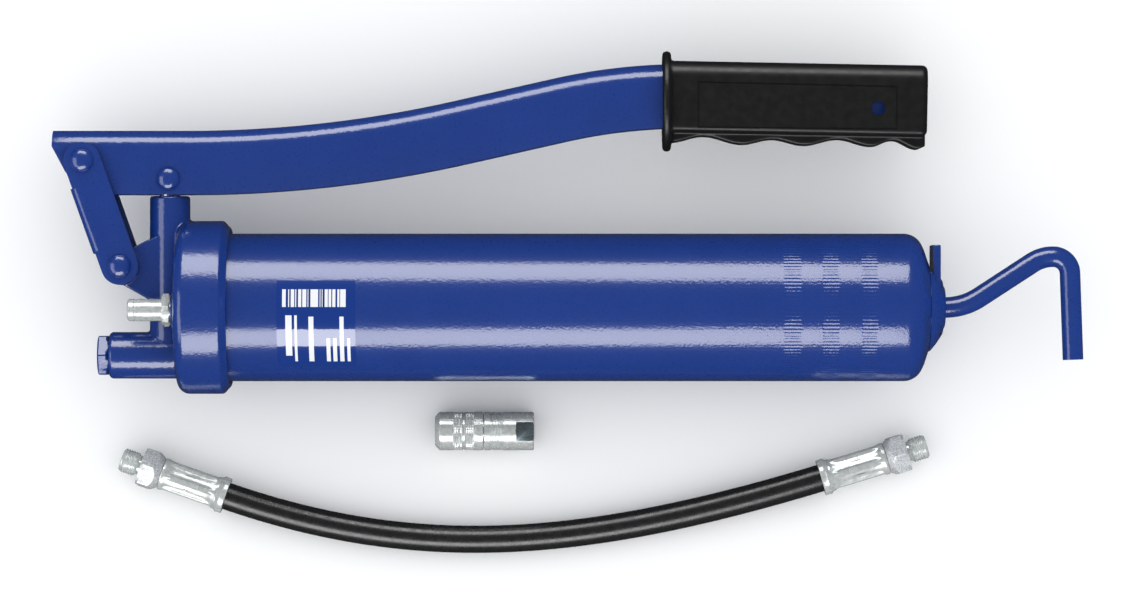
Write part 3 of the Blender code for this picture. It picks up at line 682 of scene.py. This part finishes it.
# ---------------------------------------------------------------- grip
def make_grip(looks):
    """Moulded body with soft edges, finger rib, guard, inset panel lines and a round hole."""
    high, low = 6.0, 2.0
    outline = arc(high, high - GRIP_HALF, high, 270, 180, 10)
    outline += arc(high, GRIP_HALF - high, high, 180, 90, 10)
    outline += arc(25.4, GRIP_HALF - low, low, 90, 0, 6) + arc(25.4, low - GRIP_HALF, low, 0, -90, 6)
    grip = swept("grip", outline, [(191.0, 95.1), (292.3, 93.2)], looks["plastic"])
    rounded(grip, 2.0, 5, 60)
    knuckles = [(193.4, 63.7), (206, 66.0), (221, 62.9), (232.6, 64.8), (245, 62.5), (258, 64.8),
                (271, 62.1), (279, 64.4), (288.5, 61.0), (291.3, 61.9)]
    wave = []
    for (x0, y0), (x1, y1) in zip(knuckles, knuckles[1:]):
        for n in range(10):
            share = (1 - math.cos(math.pi * n / 10)) / 2
            wave.append((x0 + (x1 - x0) * n / 10, y0 + (y1 - y0) * share))
    rib = plate("rib", wave + [(291.3, 61.9), (291.3, 72), (193.4, 72)], -7.4, 7.4)
    rounded(rib, 2.2, 4, 60)
    oval = [(79.6 + 19.4 * y, 15.9 * z) for y, z in arc(0, 0, 1, 0, 356, 89)]
    guard = plate("guard", oval, 190.2, 193.6, across=True)
    rounded(guard, 1.4, 5, 60)
    melted(grip, 0.5, 3, rib, guard)
    cutters = []
    for side in (-1, 1):
        face = GRIP_HALF * side
        for edge in (
                [(203.6, 86.9), (280.3, 85.1), (280.3, 84.5), (203.6, 86.3)],
                [(203.6, 69.6), (280.3, 68.8), (280.3, 68.2), (203.6, 69.0)],
                [(203.6, 69.6), (204.2, 69.6), (204.2, 86.3), (203.6, 86.3)],
                [(279.7, 68.8), (280.3, 68.8), (280.3, 85.1), (279.7, 85.1)]):
            cutters.append(plate("line", edge, face - 0.35, face + 0.35))
    combine(grip, 'DIFFERENCE', *cutters, sharp=50)
    path = bent(*LEVER_LINE, 28)
    path[-1] = (285.3, 90.9)
    room = channel_section(LEVER_HALF + GAP, LEVER_DEPTH + GAP, LEVER_BEND, -GAP)
    cavity = swept("cavity", room, path)
    combine(cavity, 'DIFFERENCE', block("floor", (197.4, 300), (40, 70.7), (-12, 12)))
    hole = rod(2.8, -20, 20, (272.9, 76.6, 0), ACROSS, 64)
    combine(grip, 'DIFFERENCE', cavity, hole, sharp=50)
    take_place(grip, "lever", "black_plastic", "lever_grip")


# ---------------------------------------------------------------- barrel
KNURLS = ((235.7, 243.3), (250.6, 257.6), (265.5, 272.3))
KNURL_COUNT = 122
LABEL_X, LABEL_WIDE = 42.8, 30.0


def knurl_shape(t, r, angle):
    """Short raised lines along the barrel in three bands."""
    if r < BARREL_R - 0.1:
        return r
    for start, end in KNURLS:
        if start < t < end:
            ease = min(1.0, (t - start) / 0.8, (end - t) / 0.8)
            wave = max(0.0, math.cos(angle * KNURL_COUNT))
            return r - 0.08 * ease * wave
    return r


def make_barrel(looks):
    """Tube with its three knurled bands, rear cap, lock plate, and the rod with its handle."""
    profile = [(9.5, BARREL_INSIDE), (9.5, 28.2), (22.4, 28.2), (22.9, 28.45)]
    profile += [(23.7, BARREL_R), (60, BARREL_R), (120, BARREL_R), (180, BARREL_R)]
    for start, end in KNURLS:
        profile += [(t, BARREL_R) for t in (start, start + 0.4, start + 0.8, (start + end) / 2,
                                            end - 0.8, end - 0.4, end)]
    profile += [(278.0, BARREL_R)] + arc(283.4, 20.9, 7.6, 90, 30, 10)
    profile += [(291.0, 22.6), (291.9, 20.0), (292.6, 17.9), (BARREL_BACK, 17.0), (BARREL_BACK, 14.0),
                (291.4, 14.0), (291.4, 16.6), (290.2, 20.0), (288.3, 24.2), (286.4, 26.2),
                (283.5, BARREL_INSIDE)]
    tube = lathe("barrel", profile, looks["paint"], KNURL_COUNT * 6, shape=knurl_shape, ring=True,
                 sharp=40)
    take_place(tube, "barrel", "blue_paint", "barrel_tube")

    cone = [(286.2, 6.4), (286.2, 13.7), (293.05, 13.7), (293.05, 17.1), (293.6, 16.9),
            (295.6, 14.6), (297.6, 11.6), (298.4, 10.2)]
    cone += arc(296.6, 6.6, 2.8, 45, 8, 4) + [(299.4, 4.4), (290.4, 4.4), (290.4, 6.4)]
    cap = lathe("cap", cone, looks["paint"], 120, ring=True, sharp=50)
    combine(cap, 'DIFFERENCE', block("slot", (292.8, 297.4), (-10.55, 20), (-9.8, 9.8)))
    pocket = rod(2.2, 288, 294, (0, 9.3, 0), steps=32)
    combine(cap, 'DIFFERENCE', pocket, sharp=50)
    take_place(cap, "barrel", "blue_paint", "rear_cap")

    outline = [(297.2, -9), (297.2, 24.1), (294.2, 24.1), (294.2, -9)]
    outline += arc(295.7, -9.0, 1.5, 190, 350, 12)
    tab = plate("lock_plate", outline, -9.5, 9.5, looks["paint"])
    combine(tab, 'DIFFERENCE', rod(ROD_R + 0.6, 292, 299))
    rounded(tab, 0.5, 3, 50)
    take_place(tab, "catch", "blue_paint", "release_plate")

    line = bent([(27.5, 0, 0), (306.8, 0, 0), (336.9, 19.6, 0), (347.6, 19.6, 0),
                 (349, -20.2, 0)], [24.0, 14.5, 6.5], 16)
    handle = wire("handle", line, ROD_R, looks["paint"], sides=12)
    take_place(handle, "rod", "blue_paint", "pull_rod")
    thread = lathe("handle_thread", [(11.6, 0), (11.6, 2.4), (12.0, 2.8)] +
                   [(t, 2.8) for t in spread(12.2, 26.8, 90)] + [(27.6, 2.8), (27.6, 0)],
                   looks["steel"], 48, shape=thread_shape(1.0, 0.4, 2.7))
    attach(thread, "rod")


# ---------------------------------------------------------------- label on the barrel
def patch(name, x, around, lift, look, columns=2):
    """A thin curved sheet on the barrel: x range in mm, angle range in degrees over the axis."""
    mesh = bpy.data.meshes.new(name)
    build = bmesh.new()
    count = max(2, int(abs(around[1] - around[0]) / 1.5))
    levels = []
    for radius in (BARREL_R + lift, BARREL_R + lift - 0.03):
        rows = []
        for angle in spread(*around, count):
            turn = math.radians(angle)
            rows.append([build.verts.new((t * MM, radius * math.sin(turn) * MM,
                                          radius * math.cos(turn) * MM))
                         for t in spread(*x, columns)])
        levels.append(rows)
    top, bottom = levels
    for rows in levels:
        for a, b in zip(rows, rows[1:]):
            for n in range(columns):
                build.faces.new((a[n], a[n + 1], b[n + 1], b[n]))
    rim = ([(r, 0) for r in range(count)] + [(count, c) for c in range(columns)] +
           [(r, columns) for r in range(count, 0, -1)] + [(0, c) for c in range(columns, 0, -1)])
    for (r0, c0), (r1, c1) in zip(rim, rim[1:] + rim[:1]):
        build.faces.new((top[r0][c0], top[r1][c1], bottom[r1][c1], bottom[r0][c0]))
    bmesh.ops.recalc_face_normals(build, faces=build.faces)
    build.to_mesh(mesh)
    build.free()
    piece = finish_mesh(name, mesh, look, sharp=40)
    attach(piece, "barrel")
    return piece


def make_label(looks):
    """A film with plain bars where a code and lines of print would be."""
    patch("label_film", (LABEL_X, LABEL_X + LABEL_WIDE), (21.0, -52.0), 0.08, looks["film"], 8)
    bars = ((2.2, 1.4), (4.5, 0.4), (5.5, 1.3), (7.2, 0.4), (8.3, 1.2), (9.9, 1.5), (11.9, 0.3),
            (13.0, 2.9), (16.5, 0.3), (17.3, 0.3), (18.4, 1.2), (19.9, 1.0), (21.3, 1.2),
            (23.2, 0.8), (24.3, 2.1))
    for number, (start, wide) in enumerate(bars):
        bar = (LABEL_X + start, LABEL_X + start + wide)
        patch("label_bar_%02d" % number, bar, (14.0, 0.4), 0.1, looks["print"])
    strips = ((3.4, 2.4, -6, -40), (6.8, 1.0, -6, -46), (12.2, 1.9, -7, -46), (18.9, 1.5, -24, -46),
              (21.4, 1.5, -24, -46), (24.0, 1.6, -7, -46), (26.8, 1.2, -24, -46))
    for number, (start, wide, high, low) in enumerate(strips):
        strip = (LABEL_X + start, LABEL_X + start + wide)
        patch("label_line_%02d" % number, strip, (high, low), 0.1, looks["print"])


# ---------------------------------------------------------------- coupler
def make_coupler(looks):
    """Mouth sleeve with two knurled bands, and the body with its grooves, flats and thread."""
    def knurled(t, r, angle):
        if r < 7.2:
            return r
        if 7.1 < t < 10.6 or 11.9 < t < 15.2:
            diamond = math.cos(angle * 36 + t * 4.2) * math.cos(angle * 36 - t * 4.2)
            return r - 0.16 + 0.16 * diamond
        return r

    mouth = [(0, 3.6), (0, 5.6), (0.8, 6.6), (1.5, 7.25), (1.9, COUPLER_R), (7.0, COUPLER_R)]
    mouth += [(t, COUPLER_R) for t in spread(7.2, 10.5, 12)]
    mouth += [(10.7, COUPLER_R), (10.9, 7.1), (11.6, 7.1), (11.8, COUPLER_R)]
    mouth += [(t, COUPLER_R) for t in spread(12.0, 15.1, 12)]
    mouth += [(15.3, COUPLER_R), (18.6, COUPLER_R), (18.9, 7.2), (18.9, 5.2), (3.0, 5.2),
              (1.4, 3.6)]
    sleeve = lathe("sleeve", mouth, looks["zinc"], 288, COUPLER, shape=knurled, ring=True, sharp=30)
    take_place(sleeve, "sleeve", "zinc_plate", "coupler_sleeve")

    outside = [(13.9, 3.6), (13.9, 4.9), (19.2, 4.9), (19.2, 7.2), (19.5, COUPLER_R),
               (21.4, COUPLER_R)]
    for start in spread(21.4, 26.2, 8):
        outside += [(start + 0.12, COUPLER_R - 0.22), (start + 0.42, COUPLER_R - 0.22),
                    (start + 0.54, COUPLER_R)]
    outside += [(31.6, COUPLER_R), (38.2, COUPLER_R), (COUPLER_LENGTH, 7.0),
                (COUPLER_LENGTH, 5.2), (38.0, 4.6)]
    outside += [(t, 4.6) for t in spread(37.8, 30.0, 40)]
    outside += [(29.5, 4.6), (29.5, 3.2), (24.0, 3.2), (24.0, 1.5), (20.5, 1.5), (20.5, 3.6)]

    socket = thread_shape(1.0, 0.45, 4.5)

    def inside_thread(t, r, angle):
        if 4.5 < r < 4.7 and 29.9 < t < 37.9:
            return socket(t, r, angle)
        return r

    body = lathe("coupler", outside, looks["zinc"], 192, COUPLER, shape=inside_thread, ring=True,
                 sharp=30)
    end = COUPLER[0] + COUPLER_LENGTH
    flats = [block("flat", (end - 6.9, end + 1), (COUPLER[1] - 9, COUPLER[1] + 9),
                   (COUPLER[2] + low, COUPLER[2] + high)) for low, high in ((6.5, 9), (-9, -6.5))]
    combine(body, 'DIFFERENCE', *flats, sharp=30)
    # The flats facing up and down take the zinc whose dark teal colour is a painted reflection of the dim
    # room.
    body.data.materials.append(looks["zinc_ground_painted_reflection"])
    for face in body.data.polygons:
        if abs(face.normal.z) > 0.99 and face.center.x > 30 * MM:
            face.material_index = 1
    take_place(body, "coupler", "zinc_plate", "coupler_body")


# ---------------------------------------------------------------- nodes kept from the CAD
KEPT = {
    "steel": ("outlet_ball", "outlet_spring", "filler_ball", "filler_spring", "pump_plunger",
              "spring_seat", "release_spring", "follower_front_plate", "follower_rear_plate",
              "follower_spring", "rod_nut", "coupler_jaw_1", "coupler_jaw_2", "coupler_jaw_3",
              "coupler_jaw_4", "coupler_spring", "coupler_ball"),
    "rubber": ("plunger_packing", "head_gasket", "rod_seal", "follower_cup", "coupler_seal"),
    "copper": ("outlet_washer",),
}


def dress_kept(looks):
    """Looks for the CAD nodes that show as they are."""
    for look, names in KEPT.items():
        for name in names:
            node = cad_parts[name]
            for slot in node.material_slots:
                slot.material = looks[look]


# ---------------------------------------------------------------- stage
def add_floor():
    """A wide white sheet just under the gun."""
    mesh = bpy.data.meshes.new("floor")
    build = bmesh.new()
    bmesh.ops.create_grid(build, x_segments=1, y_segments=1, size=6.0)
    build.to_mesh(mesh)
    build.free()
    floor = bpy.data.objects.new("floor", mesh)
    bpy.context.scene.collection.objects.link(floor)
    floor.location.z = -0.0002
    look = Look("floor", (0.95, 0.95, 0.95), 0.8)
    look.bump(look.noise(30.0), 0.0001, 0.1)
    mesh.materials.append(look.made)
    floor.visible_glossy = False


def add_light(name, tilt, size, power, distance=1.5):
    """A softbox facing the gun, tilted from straight up towards +X and +Y. It lights no diffuse surface."""
    data = bpy.data.lights.new(name, 'AREA')
    data.shape = 'RECTANGLE'
    data.size, data.size_y = size
    data.energy = power
    lamp = bpy.data.objects.new(name, data)
    bpy.context.scene.collection.objects.link(lamp)
    turn = Euler((-math.radians(tilt[1]), math.radians(tilt[0]), 0))
    lamp.rotation_euler = turn
    lamp.location = place(150, 0, 0) + turn.to_matrix() @ Vector((0, 0, distance))
    lamp.visible_diffuse = False


def add_world():
    """An even white room, seen only dimly in reflections."""
    world = bpy.data.worlds.new("studio")
    world.use_nodes = True
    tree = world.node_tree
    rays = tree.nodes.new("ShaderNodeLightPath")
    amount = tree.nodes.new("ShaderNodeMapRange")
    amount.inputs["To Min"].default_value = 1.2
    amount.inputs["To Max"].default_value = 0.035
    tree.links.new(rays.outputs["Is Glossy Ray"], amount.inputs["Value"])
    room = tree.nodes["Background"]
    room.inputs["Color"].default_value = (0.97, 0.985, 1.0, 1)
    tree.links.new(amount.outputs["Result"], room.inputs["Strength"])
    bpy.context.scene.world = world


def light_scene():
    """Softboxes above and below draw the highlights along the barrel, one at the left the rest."""
    add_light("softbox_upper", (-12.0, 58.0), (1.2, 0.8), 15.0)
    add_light("softbox_lower", (-12.0, -47.6), (1.2, 0.75), 14.0)
    add_light("softbox_left", (-52.0, -10.0), (0.8, 1.4), 6.4)
    add_world()
    bpy.context.scene.view_settings.view_transform = 'Standard'


def keep_apart(*names):
    """Leaves the big painted pieces out of reflections, where they would darken the plated ones."""
    for name in names:
        bpy.data.objects[name].visible_glossy = False


add_camera()
LOOKS = {
    "paint": paint_look(), "zinc": zinc_look(), "zinc_rough": cast_zinc_look(),
    "zinc_ground_painted_reflection": zinc_flat_painted_reflection_look(),
    "steel": steel_look(), "plastic": plastic_look(), "hose": hose_look(),
    "rubber": rubber_look(), "copper": copper_look(), "film": film_look(), "print": print_look(),
}
make_hose(LOOKS)
make_head(LOOKS)
make_lever(LOOKS)
make_grip(LOOKS)
make_barrel(LOOKS)
make_label(LOOKS)
make_coupler(LOOKS)
dress_kept(LOOKS)
add_floor()
light_scene()
keep_apart("barrel", "head_casting", "lever_arm", "grip")
